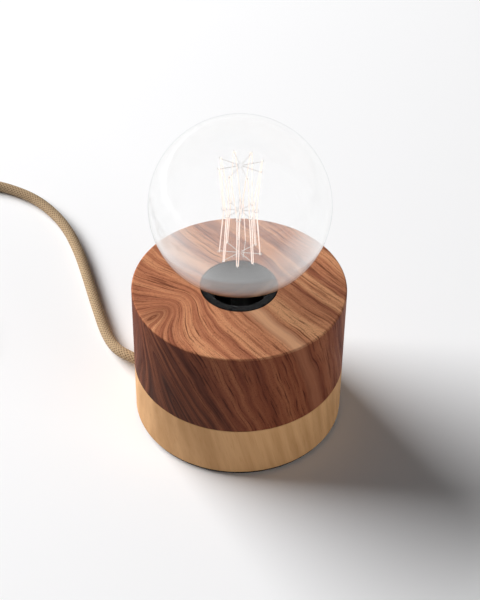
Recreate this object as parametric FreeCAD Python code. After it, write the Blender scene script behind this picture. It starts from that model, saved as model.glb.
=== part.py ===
import FreeCAD, Part
import math
import os

# A bare-bulb table lamp: a turned two-wood base, a lampholder sunk flush in its top,
# a large clear filament bulb, and a fabric cord with an inline switch and a flat plug.
# Millimetres, +Z up. The origin is the centre of the underside of the base pad.

Vector = FreeCAD.Vector
UP = Vector(0, 0, 1)
HALF_TURN = 180.0
FULL_TURN = 360.0

# ---------------------------------------------------------------- driving dimensions

# turned base
base_radius = 58.0
pad_thickness = 2.0
pad_inset = 1.5
maple_height = 32.0
walnut_height = 53.0
edge_round = 1.0
seam_round = 0.4

# socket bore and what passes below it
bore_radius = 21.05
bore_floor_above_maple = 5.0
pocket_wall = 28.0
maple_roof = 10.0
dowel_radius = 3.0
dowel_length = 16.0
dowel_inset = 16.0
dowel_count = 2

# threaded nipple that clamps holder, walnut and maple together
nipple_radius = 5.0
nipple_bore = 4.0
nipple_drop = 8.0
nipple_rise = 5.0
nipple_hole_play = 0.2
washer_radius = 10.0
washer_thickness = 1.5
nut_across_flats = 14.0
nut_height = 4.0
nut_sides = 6

# lampholder
holder_play = 0.3
holder_recess = 0.2
holder_wall = 2.2
holder_cap_height = 9.0
collar_radius = 8.0
mouth_radius = 16.0
mouth_lip = 3.0
mouth_round = 1.0
core_thickness = 3.4
core_play = 0.25
core_drop = 1.0
sleeve_wall = 0.4
sleeve_height = 26.6
sleeve_floor_hole = 8.0
terminal_size = 3.0
terminal_length = 6.0
terminal_screw_radius = 1.6
terminal_screw_head = 1.2
tongue_width = 5.0
tongue_thickness = 0.4
tongue_reach = 6.0
contact_gap = 0.2

# bulb: globe, neck and cap
globe_radius = 47.5
globe_centre_above_top = 54.0
bulb_length = 136.0
glass_wall = 0.8
neck_joint_play = 0.1
neck_taper_degrees = 12.0
neck_blend_radius = 12.0
neck_tail = 4.0
cap_radius = 13.1
cap_wall = 0.3
cap_length = 27.0
cap_rim_radius = 13.7
cap_rim_height = 1.6
thread_play = 0.08
pip_radius = 4.8
pip_height = 1.6
pip_turn_radius = 3.5
pip_turn_rise = 0.5
insulator_height = 3.4

# glass mount inside the bulb
stem_radius = 4.2
stem_wall = 0.9
flare_wall = 1.3
press_width = 9.0
press_depth = 4.0
press_round = 1.4
press_bottom_below_centre = 43.0
press_top_below_centre = 34.3
rod_radius = 1.1
bead_radius = 1.9
bead_height = 3.2
bead_chamfer = 0.8

# squirrel-cage filament and the wires that hold it, heights from the globe centre
hook_count = 8
top_height = 26.2
middle_height = -2.5
lower_height = -30.9
top_radius = 11.3
middle_radius = 8.5
lower_radius = 10.8
hook_wire_radius = 0.2
hook_past = 0.9
hook_curl = 0.9
hook_bend = 0.7
wire_sides = 6
eye_corners = 8
filament_radius = 0.28
filament_bend = 0.5
filament_corner = 0.45
filament_play = 0.1
strand_half_gap = 0.7
lead_half_gap = 2.0
lower_azimuth = -5.5
lead_azimuth_index = 2

# fabric cord
cord_radius = 3.25
cord_lift = 0.05
exit_azimuth = 158.5
exit_height = 8.2
exit_play = 0.35
exit_straight = 10.7
sheath_end_inset = 8.0
wall_joint_inset = 8.0
core_wire_radius = 1.1
core_wire_offset = 1.3
arc_share = 0.45

# cord grip inside the pocket
grip_width = 26.0
grip_depth = 7.0
grip_past = 1.2
grip_half_height = 5.0
grip_play = 0.3
grip_screw_radius = 1.5
grip_screw_head_radius = 2.75
grip_screw_head = 1.6
grip_screw_offset = 8.5

# inline rocker switch
switch_length = 62.0
switch_width = 27.0
switch_height = 15.0
switch_end_width = 11.0
switch_nose = 17.0
switch_round = 2.6
switch_corner = 5.0
switch_heading = 235.0
rocker_length = 19.6
rocker_width = 11.2
rocker_barrel = 3.6
rocker_pivot_height = 12.0
rocker_crown = 2.6
rocker_dip = 1.9
rocker_tilt = 12.0
rocker_gap = 0.7
rocker_side_gap = 0.4
pivot_radius = 1.2
pivot_length = 0.9
pivot_play = 0.06
switch_screw_radius = 1.4
switch_screw_head_radius = 2.6
switch_screw_head = 1.8
switch_screw_depth = 10.0
switch_screw_offset = 19.0

# put-away coil and its strap
coil_outer_radius = 46.0
coil_turns_per_layer = 3
coil_start_angle = 180.0
coil_end_angle = 200.0
coil_turn_gap = 0.65
coil_arcs_per_turn = 4
strap_thickness = 0.8
strap_width = 10.0
strap_play = 0.25
strap_side_play = 0.8
strap_corner = 2.6
strap_angle = 90.0

# flat two-pin plug
plug_heading = 310.0
plug_width = 35.3
plug_thickness = 13.7
plug_length = 47.0
plug_straight = 13.0
plug_face_width = 29.0
plug_neck_length = 19.0
plug_neck_radius = 5.6
plug_neck_tip = 4.2
plug_neck_grooves = 3
plug_groove_width = 1.4
plug_groove_depth = 0.9
plug_groove_pitch = 3.6
plug_first_groove = 4.2
plug_corner = 4.0
plug_round = 2.4
pin_radius = 2.0
pin_length = 19.0
pin_spacing = 19.0
pin_seat = 6.0
pin_seat_step = 0.8
pin_tip_round = 1.2

# ---------------------------------------------------------------- derived places

pad_top = pad_thickness
maple_top = pad_top + maple_height
walnut_top = maple_top + walnut_height
pocket_top = maple_top - maple_roof
bore_floor = maple_top + bore_floor_above_maple

globe_centre = walnut_top + globe_centre_above_top
globe_top = globe_centre + globe_radius
bulb_tip = globe_top - bulb_length
cap_top = bulb_tip + cap_length
cap_bottom = bulb_tip + pip_height + insulator_height

holder_radius = bore_radius - holder_play
pocket_radius = base_radius - pocket_wall
dowel_circle = base_radius - dowel_inset
holder_top = walnut_top - holder_recess
holder_joint = bore_floor + holder_cap_height
core_top = bulb_tip - contact_gap - 2 * tongue_thickness - core_drop
core_bottom = core_top - core_thickness
sleeve_radius = cap_radius + thread_play
neck_joint_radius = cap_radius - cap_wall - neck_joint_play
flare_radius = neck_joint_radius - glass_wall
nipple_bottom = pocket_top - nipple_drop
nipple_top = bore_floor + nipple_rise

cord_height = cord_radius + cord_lift
sheath_end_radius = pocket_radius - sheath_end_inset
wall_joint_radius = base_radius - wall_joint_inset
exit_reach = base_radius + exit_straight
switch_axis_height = switch_height / 2
plug_axis_height = plug_thickness / 2
coil_pitch = 2 * cord_radius + coil_turn_gap
coil_inner_radius = coil_outer_radius - coil_turns_per_layer * coil_pitch
coil_low = strap_thickness + cord_lift + strap_play + cord_radius
coil_high = coil_low + coil_pitch

# the cord's free stretch over the table, after the hole in the base
free_points = [
    (-77.0, 43.2, cord_height),
    (-88.5, 81.6, cord_height),
    (-94.2, 102.0, cord_height),
    (-101.9, 127.6, cord_height),
    (-112.1, 152.0, cord_height),
    (-125.8, 171.1, cord_height),
    (-140.6, 184.1, cord_height),
    (-163.0, 194.7, cord_height),
    (-181.0, 194.2, cord_height),
    (-196.8, 185.7, 5.0),
    (-207.2, 170.9, switch_axis_height),
    (-214.1, 161.1, switch_axis_height),
]
switch_entry = free_points[-1]

# between the switch and the coil; the first point is the switch's far end
link_points = [
    (-257.7, 98.8, switch_axis_height),
    (-265.2, 74.0, coil_low),
    (-265.2, 56.0, coil_low),
]
coil_start = link_points[-1]

# between the coil and the plug; the first point is the coil's upper end
end_points = [
    (-255.5, 13.5, coil_high),
    (-247.0, -4.5, 9.1),
    (-236.5, -20.0, plug_axis_height),
    (-228.0, -30.1, plug_axis_height),
]
plug_rear = end_points[-1]

parts = {}

# ---------------------------------------------------------------- shared shapes


def polar(radius, degrees, height=0.0):
    """A point at a radius and a compass angle about the lamp's axis."""
    angle = math.radians(degrees)
    return Vector(radius * math.cos(angle), radius * math.sin(angle), height)


def disc(radius, bottom, top, centre=(0.0, 0.0)):
    """An upright cylinder between two heights."""
    return Part.makeCylinder(radius, top - bottom, Vector(centre[0], centre[1], bottom))


def rod(start, end, radius):
    """A round bar between two points."""
    run = end - start
    return Part.makeCylinder(radius, run.Length, start, run)


def ring(outer, inner, bottom, top):
    """A tube between two heights."""
    return disc(outer, bottom, top).cut(disc(inner, bottom, top))


def block(low, high):
    """A box between two corners."""
    size = Vector(*high) - Vector(*low)
    return Part.makeBox(size.x, size.y, size.z, Vector(*low))


def on_profile(radius, height):
    """A point of a turned outline: distance from the axis and height."""
    return Vector(radius, 0, height)


def turned(edges):
    """The closed outline's edges turned once round the lamp's axis."""
    face = Part.Face(Part.Wire(edges))
    return face.revolve(Vector(0, 0, 0), UP, FULL_TURN)


def chain(points):
    """Straight edges from each point to the next."""
    return [Part.LineSegment(a, b).toShape() for a, b in zip(points[:-1], points[1:])]


def turned_chain(points):
    """A turned solid from a closed outline of straight edges."""
    return turned(chain(points + points[:1]))


def edges_at(shape, height, radius, slack=0.02):
    """Round edges at one height and one radius."""
    found = []
    for edge in shape.Edges:
        curve = edge.Curve
        if not isinstance(curve, Part.Circle):
            continue
        level = abs(curve.Center.z - height) < slack
        same_size = abs(curve.Radius - radius) < slack
        if level and same_size:
            found.append(edge)
    return found


def round_edges(shape, size, places):
    """Rounds the edges named by (radius, height) pairs."""
    chosen = []
    for radius, height in places:
        chosen = chosen + edges_at(shape, height, radius)
    return shape.makeFillet(size, chosen)


def copies_around(shape, count, first=0.0):
    """Equal copies about the lamp's axis."""
    made = []
    for index in range(count):
        copy = shape.copy()
        copy.rotate(Vector(0, 0, 0), UP, first + index * FULL_TURN / count)
        made.append(copy)
    return made


def joined(shapes):
    """One shape from touching or overlapping solids."""
    return shapes[0].multiFuse(shapes[1:]).removeSplitter()


def place(shape, point, heading=0.0):
    """Turns a piece built along +X to its heading and moves it to its place."""
    moved = shape.copy()
    moved.rotate(Vector(0, 0, 0), UP, heading)
    moved.translate(Vector(point[0], point[1], 0))
    return moved


# ---------------------------------------------------------------- cord paths


def bent_path(points, bend=None, report=None):
    """Straight runs joined by tangent arcs, as large as their runs allow."""
    edges = []
    radii = []
    here = points[0]
    for before, corner, after in zip(points[:-2], points[1:-1], points[2:]):
        back = before - corner
        ahead = after - corner
        half_turn = (math.pi - back.getAngle(ahead)) / 2
        reach = arc_share * min(back.Length, ahead.Length)
        if bend:
            reach = min(reach, bend * math.tan(half_turn))
        radius = reach / math.tan(half_turn)
        back.normalize()
        ahead.normalize()
        first = corner + back * reach
        last = corner + ahead * reach
        inward = back + ahead
        inward.normalize()
        middle = corner + inward * (math.hypot(radius, reach) - radius)
        edges.append(Part.LineSegment(here, first).toShape())
        edges.append(Part.Arc(first, middle, last).toShape())
        radii.append(round(radius, 1))
        here = last
    edges.append(Part.LineSegment(here, points[-1]).toShape())
    if report:
        print(report, "bend radii in mm:", radii)
    return Part.Wire(edges)


def swept(path, radius, report=None):
    """A round section carried along a path."""
    start = path.Edges[0]
    point = start.valueAt(start.FirstParameter)
    direction = start.tangentAt(start.FirstParameter)
    section = Part.Wire(Part.Circle(point, direction, radius).toShape())
    solid = path.makePipeShell([section], True, False)
    if report:
        whole = math.pi * radius ** 2 * path.Length
        print(report, "length", round(path.Length, 1), "volume ratio", round(solid.Volume / whole, 5))
    return solid


def path_points(path):
    """Ends of a path's edges, and the middle of each bend."""
    points = [path.Edges[0].valueAt(path.Edges[0].FirstParameter)]
    for edge in path.Edges:
        first = edge.FirstParameter
        last = edge.LastParameter
        if isinstance(edge.Curve, Part.Circle):
            points.append(edge.valueAt((first + last) / 2))
        points.append(edge.valueAt(last))
    return points


def mitred(path, radius):
    """A thin wire with flat sides along a path, mitred at each point; a loop closes on itself."""
    points = path_points(path)
    ways = [(b - a).normalize() for a, b in zip(points[:-1], points[1:])]
    side = UP.cross(ways[0])
    if side.Length < 0.5:
        side = Vector(0, 1, 0)
    side.normalize()
    upward = ways[0].cross(side)
    rounds = [math.radians(k * FULL_TURN / wire_sides) for k in range(wire_sides)]
    section = [points[0] + (side * math.cos(a) + upward * math.sin(a)) * radius for a in rounds]
    first = section
    faces = []
    for index, way in enumerate(ways):
        corner = points[index + 1]
        normal = way + ways[min(index + 1, len(ways) - 1)]
        moved = [spot + way * ((corner - spot).dot(normal) / way.dot(normal)) for spot in section]
        for k in range(wire_sides):
            following = (k + 1) % wire_sides
            around = [section[k], section[following], moved[following], moved[k]]
            faces.append(Part.Face(Part.Wire(chain(around + around[:1]))))
        section = moved
    if (points[0] - points[-1]).Length > radius:
        faces.append(Part.Face(Part.Wire(chain(first + first[:1]))))
        faces.append(Part.Face(Part.Wire(chain(section + section[:1]))))
    solid = Part.Solid(Part.Shell(faces))
    if solid.Volume < 0:
        solid.reverse()
    return solid


def biarc(start, start_way, end, end_way):
    """Two tangent arcs from one directed point to another."""
    span = end - start
    ways = start_way + end_way
    along = span.dot(ways)
    spread = 2 * (1 - start_way.dot(end_way))
    reach = (math.sqrt(along ** 2 + spread * span.dot(span)) - along) / spread
    first_corner = start + start_way * reach
    last_corner = end - end_way * reach
    middle = (first_corner + last_corner) * 0.5
    pairs = ((start, first_corner, middle), (middle, last_corner, end))
    return [arc_by_corner(*pair) for pair in pairs]


def arc_by_corner(start, corner, end):
    """The arc that touches both sides of an even corner."""
    chord_middle = (start + end) * 0.5
    rise = corner - chord_middle
    half_chord = (end - start).Length / 2
    sagitta = half_chord * math.tan(math.atan2(rise.Length, half_chord) / 2)
    top = chord_middle + rise * (sagitta / rise.Length)
    return Part.Arc(start, top, end).toShape()


# ---------------------------------------------------------------- turned base


def make_pad():
    """Thin soft pad that the lamp stands on."""
    return disc(base_radius - pad_inset, 0.0, pad_top)


def dowel_places():
    """Where the dowels stand, clear of the cord's side."""
    first = exit_azimuth + FULL_TURN / dowel_count / 2
    return [polar(dowel_circle, first + k * FULL_TURN / dowel_count) for k in range(dowel_count)]


def dowel(place_at, play=0.0):
    """Wood pin half in the maple, half in the walnut."""
    half = dowel_length / 2
    return disc(dowel_radius, maple_top - half - play, maple_top + half + play, (place_at.x, place_at.y))


def make_maple():
    """Pale lower disc with a pocket below and a hole for the cord at the back left."""
    body = disc(base_radius, pad_top, maple_top)
    body = round_edges(body, edge_round, [(base_radius, pad_top)])
    body = round_edges(body, seam_round, [(base_radius, maple_top)])
    body = body.cut(disc(pocket_radius, pad_top, pocket_top))
    body = body.cut(disc(nipple_radius + nipple_hole_play, pocket_top, maple_top))
    hole_start = polar(sheath_end_radius, exit_azimuth, exit_height)
    hole_end = polar(exit_reach, exit_azimuth, exit_height)
    body = body.cut(rod(hole_start, hole_end, cord_radius + exit_play))
    for place_at in dowel_places():
        body = body.cut(dowel(place_at))
    return body


def make_walnut():
    """Dark upper block with the bore for the lampholder."""
    body = disc(base_radius, maple_top, walnut_top)
    body = round_edges(body, edge_round, [(base_radius, walnut_top)])
    body = round_edges(body, seam_round, [(base_radius, maple_top)])
    body = body.cut(disc(bore_radius, bore_floor, walnut_top))
    body = round_edges(body, seam_round, [(bore_radius, walnut_top)])
    body = body.cut(disc(nipple_radius + nipple_hole_play, maple_top, bore_floor))
    for place_at in dowel_places():
        body = body.cut(dowel(place_at))
    return body


def make_nut():
    """Six-sided nut under the washer."""
    nut_top = pocket_top - washer_thickness
    corner_radius = nut_across_flats / math.sqrt(3)
    step = FULL_TURN / nut_sides
    corners = [polar(corner_radius, step * k, nut_top - nut_height) for k in range(nut_sides + 1)]
    body = Part.Face(Part.Wire(chain(corners))).extrude(UP * nut_height)
    return body.cut(disc(nipple_radius, nut_top - nut_height, nut_top))


def build_base():
    """All pieces of the turned base."""
    parts["base_pad"] = make_pad()
    parts["maple_base"] = make_maple()
    parts["walnut_block"] = make_walnut()
    for index, place_at in enumerate(dowel_places()):
        parts["dowel_%d" % (index + 1)] = dowel(place_at)
    parts["threaded_nipple"] = ring(nipple_radius, nipple_bore, nipple_bottom, nipple_top)
    washer_bottom = pocket_top - washer_thickness
    parts["nipple_washer"] = ring(washer_radius, nipple_radius, washer_bottom, pocket_top)
    parts["nipple_nut"] = make_nut()


# ---------------------------------------------------------------- lampholder


def make_holder_cap():
    """Black cup that screws on the nipple and carries the rest of the holder."""
    shoulder = holder_cap_height / 2
    outer = [
        on_profile(nipple_radius, bore_floor),
        on_profile(collar_radius + holder_wall, bore_floor),
        on_profile(holder_radius, bore_floor + shoulder),
        on_profile(holder_radius, holder_joint),
        on_profile(holder_radius - holder_wall, holder_joint),
        on_profile(holder_radius - holder_wall, bore_floor + shoulder + holder_wall / 2),
        on_profile(collar_radius + holder_wall, bore_floor + holder_wall),
        on_profile(collar_radius, bore_floor + holder_wall),
        on_profile(collar_radius, nipple_top),
        on_profile(nipple_radius, nipple_top),
    ]
    return turned_chain(outer)


def make_holder_skirt():
    """Black outer tube with the rolled lip that shows flush in the wood."""
    inner = holder_radius - holder_wall
    outline = [
        on_profile(inner, holder_joint),
        on_profile(holder_radius, holder_joint),
        on_profile(holder_radius, holder_top),
        on_profile(mouth_radius, holder_top),
        on_profile(mouth_radius, holder_top - mouth_lip),
        on_profile(inner, holder_top - mouth_lip),
    ]
    body = turned_chain(outline)
    return round_edges(body, mouth_round, [(mouth_radius, holder_top), (holder_radius, holder_top)])


def make_core():
    """Insulating disc that carries the contacts."""
    return disc(holder_radius - holder_wall - core_play, core_bottom, core_top)


def make_sleeve():
    """Metal cup that takes the bulb's cap."""
    outer = sleeve_radius + sleeve_wall
    wall = ring(outer, sleeve_radius, core_top, core_top + sleeve_height)
    floor = ring(outer, sleeve_floor_hole, core_top, core_top + sleeve_wall)
    return wall.fuse(floor).removeSplitter()


def make_tongue():
    """Springy strip that presses on the bulb's centre contact."""
    foot = core_top
    rest = bulb_tip - contact_gap
    lower = [
        Vector(-tongue_reach, 0, foot),
        Vector(-tongue_reach / 2, 0, foot),
        Vector(pip_radius / 2, 0, rest - tongue_thickness),
        Vector(pip_radius, 0, rest - tongue_thickness),
    ]
    upper = [point + Vector(0, 0, tongue_thickness) for point in reversed(lower)]
    face = Part.Face(Part.Wire(chain(lower + upper + lower[:1])))
    body = face.extrude(Vector(0, tongue_width, 0))
    body.translate(Vector(0, -tongue_width / 2, 0))
    return body


def make_terminal(side):
    """Brass block on the core's underside where one core wire ends."""
    inner = core_wire_offset - core_wire_radius
    low = (-terminal_size / 2, inner, core_bottom - terminal_size)
    high = (terminal_size / 2, inner + terminal_length, core_bottom)
    body = block(low, high)
    screw_start = Vector(0, inner + terminal_length / 2, core_bottom - terminal_size / 2)
    screw_end = screw_start + Vector(0, terminal_length / 2, 0)
    body = body.cut(rod(screw_start, screw_end, terminal_screw_radius / 2))
    head_end = screw_end + Vector(0, terminal_screw_head, 0)
    screw = rod(screw_start, screw_end, terminal_screw_radius / 2)
    screw = screw.fuse(rod(screw_end, head_end, terminal_size / 2)).removeSplitter()
    if side < 0:
        body.rotate(Vector(0, 0, 0), UP, HALF_TURN)
        screw.rotate(Vector(0, 0, 0), UP, HALF_TURN)
    body.rotate(Vector(0, 0, 0), UP, exit_azimuth)
    screw.rotate(Vector(0, 0, 0), UP, exit_azimuth)
    return body, screw


def build_holder():
    """All pieces of the lampholder."""
    parts["holder_cap"] = make_holder_cap()
    parts["holder_skirt"] = make_holder_skirt()
    parts["holder_core"] = make_core()
    parts["thread_sleeve"] = make_sleeve()
    parts["contact_tongue"] = make_tongue()
    for index, side in enumerate((1, -1)):
        terminal, screw = make_terminal(side)
        parts["terminal_%d" % (index + 1)] = terminal
        parts["terminal_screw_%d" % (index + 1)] = screw


# ---------------------------------------------------------------- bulb glass and cap


def neck_blend(wall):
    """Tangent points of the curve between neck and globe, drawn in from the outside by a wall."""
    slope = math.radians(neck_taper_degrees)
    along = Vector(math.sin(slope), 0, math.cos(slope))
    outward = Vector(math.cos(slope), 0, -math.sin(slope))
    joint = on_profile(neck_joint_radius, cap_top)
    globe = on_profile(0.0, globe_centre)
    from_globe = joint + outward * neck_blend_radius - globe
    half = along.dot(from_globe)
    apart = from_globe.dot(from_globe) - (globe_radius + neck_blend_radius) ** 2
    reach = -half - math.sqrt(half ** 2 - apart)
    centre = joint + along * reach + outward * neck_blend_radius
    bend = neck_blend_radius + wall
    low = centre - outward * bend
    to_globe = globe - centre
    to_globe.normalize()
    high = centre + to_globe * bend
    halfway = (to_globe - outward)
    halfway.normalize()
    middle = centre + halfway * bend
    return low, middle, high


def glass_side(wall):
    """Neck, blend and globe curves from the joint with the cap up to the crown."""
    low, middle, high = neck_blend(wall)
    slope = math.radians(neck_taper_degrees)
    inward = Vector(-math.cos(slope), 0, math.sin(slope)) * wall
    joint = on_profile(neck_joint_radius, cap_top) + inward
    tail = on_profile(joint.x, cap_top - neck_tail)
    radius = globe_radius - wall
    crown = on_profile(0.0, globe_centre + radius)
    side = on_profile(radius, globe_centre)
    return [
        Part.LineSegment(tail, joint).toShape(),
        Part.LineSegment(joint, low).toShape(),
        Part.Arc(low, middle, high).toShape(),
        Part.Arc(high, side, crown).toShape(),
    ]


def make_glass():
    """Clear globe and neck as one blown wall."""
    outside = glass_side(0.0)
    inside = glass_side(glass_wall)
    top = chain([outside[-1].Vertexes[-1].Point, inside[-1].Vertexes[-1].Point])
    bottom = chain([inside[0].Vertexes[0].Point, outside[0].Vertexes[0].Point])
    return turned(outside + top + inside[::-1] + bottom)


def make_cap_shell():
    """Metal screw shell with the flared rim that holds the neck."""
    inner = cap_radius - cap_wall
    outline = [
        on_profile(inner, cap_bottom),
        on_profile(cap_radius, cap_bottom),
        on_profile(cap_radius, cap_top - cap_rim_height),
        on_profile(cap_rim_radius, cap_top),
        on_profile(cap_rim_radius - cap_wall, cap_top),
        on_profile(inner, cap_top - cap_rim_height),
    ]
    return turned_chain(outline)


def make_insulator():
    """Black glass cone between the screw shell and the centre contact."""
    outline = [
        on_profile(0.0, bulb_tip + pip_height),
        on_profile(pip_radius, bulb_tip + pip_height),
        on_profile(cap_radius - cap_wall, cap_bottom),
        on_profile(cap_radius - cap_wall, cap_bottom + cap_wall),
        on_profile(0.0, cap_bottom + cap_wall),
    ]
    return turned_chain(outline)


def make_cap_contact():
    """Domed centre contact."""
    shoulder = bulb_tip + pip_height
    turn = on_profile(pip_turn_radius, bulb_tip + pip_turn_rise)
    dome = Part.Arc(on_profile(0.0, bulb_tip), turn, on_profile(pip_radius, shoulder)).toShape()
    close = chain([on_profile(pip_radius, shoulder), on_profile(0.0, shoulder), on_profile(0.0, bulb_tip)])
    return turned([dome] + close)


# ---------------------------------------------------------------- filament mount


def hook_azimuths(offset):
    """Angles of the support wires of one star."""
    return [lower_azimuth + offset + k * FULL_TURN / hook_count for k in range(hook_count)]


def beside(radius, degrees, aside, height):
    """A point at a radius, moved sideways by a real distance."""
    angle = math.radians(degrees)
    across = Vector(-math.sin(angle), math.cos(angle), 0)
    return polar(radius, degrees, height) + across * aside


def filament_points():
    """One wire from lead to lead: up past the middle eyes, over a top hook and down again."""
    step = FULL_TURN / hook_count
    tops = globe_centre + top_height + hook_wire_radius + filament_play + filament_radius
    lows = globe_centre + lower_height - hook_wire_radius - filament_play - filament_radius
    middles = globe_centre + middle_height
    points = []
    for count in range(hook_count):
        azimuth = lower_azimuth + (lead_azimuth_index + count) * step
        if count == 0:
            points.append(beside(lower_radius, azimuth, lead_half_gap, lows))
        else:
            points.append(beside(lower_radius, azimuth, -filament_bend, lows))
            points.append(beside(lower_radius, azimuth, filament_bend, lows))
        points.append(beside(middle_radius, azimuth, strand_half_gap, middles))
        points.append(beside(top_radius, azimuth + step / 2, -filament_bend, tops))
        points.append(beside(top_radius, azimuth + step / 2, filament_bend, tops))
        points.append(beside(middle_radius, azimuth + step, -strand_half_gap, middles))
    points.append(beside(lower_radius, azimuth + step, -lead_half_gap, lows))
    return points


def hooked_wire(reach, height, curl_up):
    """A support wire from its bead through the filament's bend, curled at the tip."""
    level = globe_centre + height
    start = on_profile(rod_radius, level)
    knee = on_profile(reach + hook_past, level)
    tip = on_profile(reach + hook_past, level + curl_up * hook_curl)
    return mitred(bent_path([start, knee, tip], hook_bend), hook_wire_radius)


def eyed_wire():
    """A middle support wire that ends in an eye round two strands."""
    level = globe_centre + middle_height
    eye = strand_half_gap + filament_radius + filament_play + hook_wire_radius
    start = on_profile(rod_radius, level)
    end = on_profile(middle_radius - eye, level)
    step = FULL_TURN / eye_corners
    corners = [polar(eye, step * k, level) for k in range(1, eye_corners + 1)]
    middle = (corners[-1] + corners[0]) * 0.5
    loop = mitred(Part.Wire(chain([middle] + corners + [middle])), hook_wire_radius)
    loop.translate(Vector(middle_radius, 0, 0))
    straight = mitred(Part.Wire(chain([start, end])), hook_wire_radius)
    return straight.fuse(loop)


def make_lead(side):
    """A lead-in wire from the glass press out to the filament's end."""
    azimuth = hook_azimuths(0.0)[lead_azimuth_index]
    press_top = globe_centre - press_top_below_centre
    lows = globe_centre + lower_height - hook_wire_radius - filament_play - filament_radius
    foot = beside(0.0, azimuth, side * lead_half_gap, press_top)
    knee = beside(0.0, azimuth, side * lead_half_gap, press_top + hook_curl)
    finish = beside(lower_radius, azimuth, side * lead_half_gap, lows - filament_radius)
    return mitred(bent_path([foot, knee, finish], hook_curl), hook_wire_radius)


def make_stem():
    """Flared glass tube that closes the neck and ends in the flat press."""
    flare_low = cap_top - neck_tail
    press_low = globe_centre - press_bottom_below_centre
    press_top = globe_centre - press_top_below_centre
    waist = flare_low + flare_radius - stem_radius
    outer = [
        on_profile(flare_radius, flare_low),
        on_profile(stem_radius, waist),
        on_profile(stem_radius, press_low),
        on_profile(stem_radius - stem_wall, press_low),
        on_profile(stem_radius - stem_wall, waist - stem_wall / 2),
        on_profile(flare_radius - flare_wall, flare_low),
    ]
    tube = turned_chain(outer)
    low = (-press_width / 2, -press_depth / 2, press_low)
    high = (press_width / 2, press_depth / 2, press_top)
    press = block(low, high)
    shown = [edge for edge in press.Edges if edge.BoundBox.ZMax > press_low + press_round]
    press = press.makeFillet(press_round, shown)
    press.rotate(Vector(0, 0, 0), UP, hook_azimuths(0.0)[lead_azimuth_index] + 90)
    return tube.fuse(press).removeSplitter()


def make_bead(level):
    """Swelling of the glass rod that holds one star of wires."""
    half = bead_height / 2
    outline = [
        on_profile(0.0, level - half),
        on_profile(bead_radius - bead_chamfer, level - half),
        on_profile(bead_radius, level - half + bead_chamfer),
        on_profile(bead_radius, level + half - bead_chamfer),
        on_profile(bead_radius - bead_chamfer, level + half),
        on_profile(0.0, level + half),
    ]
    return turned_chain(outline)


def make_rod(wires):
    """Glass rod with a bead at each star of wires."""
    low = globe_centre - press_top_below_centre
    high = globe_centre + top_height
    pieces = [disc(rod_radius, low, high)]
    for height in (lower_height, middle_height, top_height):
        pieces.append(make_bead(globe_centre + height))
    body = joined(pieces)
    return body.cut(wires)


def build_bulb():
    """All pieces of the bulb."""
    parts["bulb_glass"] = make_glass()
    parts["cap_shell"] = make_cap_shell()
    parts["cap_insulator"] = make_insulator()
    parts["cap_contact"] = make_cap_contact()
    parts["glass_stem"] = make_stem()
    half_step = FULL_TURN / hook_count / 2
    top = copies_around(hooked_wire(top_radius, top_height, 1), hook_count, lower_azimuth + half_step)
    middle = copies_around(eyed_wire(), hook_count, lower_azimuth)
    lower = copies_around(hooked_wire(lower_radius, lower_height, -1), hook_count, lower_azimuth)
    del lower[lead_azimuth_index]
    parts["top_supports"] = Part.makeCompound(top)
    parts["middle_supports"] = Part.makeCompound(middle)
    parts["lower_supports"] = Part.makeCompound(lower)
    parts["support_rod"] = make_rod(top + middle + lower)
    parts["filament"] = mitred(bent_path(filament_points(), filament_corner), filament_radius)
    for index, side in enumerate((1, -1)):
        parts["lead_wire_%d" % (index + 1)] = make_lead(side)


# ---------------------------------------------------------------- cord inside the base


def make_core_wire(side):
    """Insulated core from the end of the fabric sheath up the nipple to its terminal."""
    start = beside(sheath_end_radius, exit_azimuth, side * core_wire_offset, exit_height)
    corner = beside(0.0, exit_azimuth, side * core_wire_offset, exit_height)
    end = beside(0.0, exit_azimuth, side * core_wire_offset, core_bottom - terminal_size)
    return swept(bent_path([start, corner, end]), core_wire_radius)


def make_grip(side):
    """One half of the clamp that holds the cord behind the wall."""
    near = sheath_end_radius
    top = exit_height + grip_half_height
    low = (near, -grip_width / 2, exit_height)
    high = (near + grip_depth + grip_past, grip_width / 2, top)
    body = block(low, high)
    body = body.cut(rod(Vector(0, 0, exit_height), Vector(base_radius, 0, exit_height), cord_radius))
    body = body.common(disc(pocket_radius - grip_play, exit_height, top))
    for across in (grip_screw_offset, -grip_screw_offset):
        spot = (near + grip_depth / 2, across)
        body = body.cut(disc(grip_screw_radius, exit_height, top, spot))
    if side < 0:
        body = body.mirror(Vector(0, 0, exit_height), UP)
    body.rotate(Vector(0, 0, 0), UP, exit_azimuth)
    return body


def make_grip_screw(across):
    """Screw through both halves of the clamp, its head on the lower half."""
    spot = (sheath_end_radius + grip_depth / 2, across)
    bottom = exit_height - grip_half_height
    shank = disc(grip_screw_radius, bottom, exit_height + grip_half_height, spot)
    head = disc(grip_screw_head_radius, bottom - grip_screw_head / 2, bottom, spot)
    body = shank.fuse(head).removeSplitter()
    body.rotate(Vector(0, 0, 0), UP, exit_azimuth)
    return body


def build_inner_cord():
    """Sheath end, clamp and core wires inside the base."""
    start = polar(sheath_end_radius, exit_azimuth, exit_height)
    end = polar(wall_joint_radius, exit_azimuth, exit_height)
    parts["cord_inner"] = rod(start, end, cord_radius)
    for index, side in enumerate((1, -1)):
        parts["core_wire_%d" % (index + 1)] = make_core_wire(side)
        parts["grip_screw_%d" % (index + 1)] = make_grip_screw(side * grip_screw_offset)
    parts["cord_grip_upper"] = make_grip(1)
    parts["cord_grip_lower"] = make_grip(-1)


# ---------------------------------------------------------------- inline switch


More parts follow.
